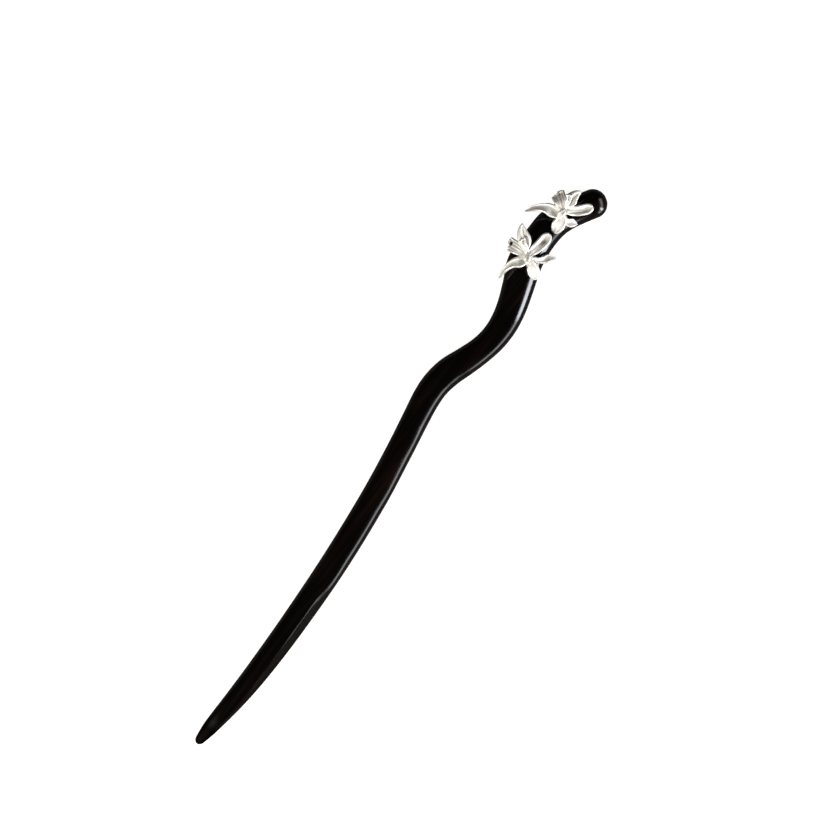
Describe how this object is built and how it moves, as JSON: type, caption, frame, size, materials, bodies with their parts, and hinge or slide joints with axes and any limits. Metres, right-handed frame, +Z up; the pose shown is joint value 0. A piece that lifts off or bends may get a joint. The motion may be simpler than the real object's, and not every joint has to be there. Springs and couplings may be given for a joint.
{
  "type": "hair stick",
  "caption": "Carved dark wood hair stick with a pointed tip, an S-bend and a rounded head that carries cast silver flowers. It is pushed through a bun to hold it.",
  "frame": {"origin": "on the surface that it lies on, under the middle of the whole piece's box", "axes": "+X from the tip to the head along the stick, +Y to the left as seen from above with the flowers up, +Z up"},
  "size_m": [0.1816, 0.0208, 0.0117],
  "materials": {
    "ebony": "oiled and polished",
    "silver": "cast silver, satin with polished edges"
  },
  "bodies": {
    "root": {"stick": "ebony", "lower_flower": "silver", "upper_flower": "silver"}
  },
  "joints": []
}
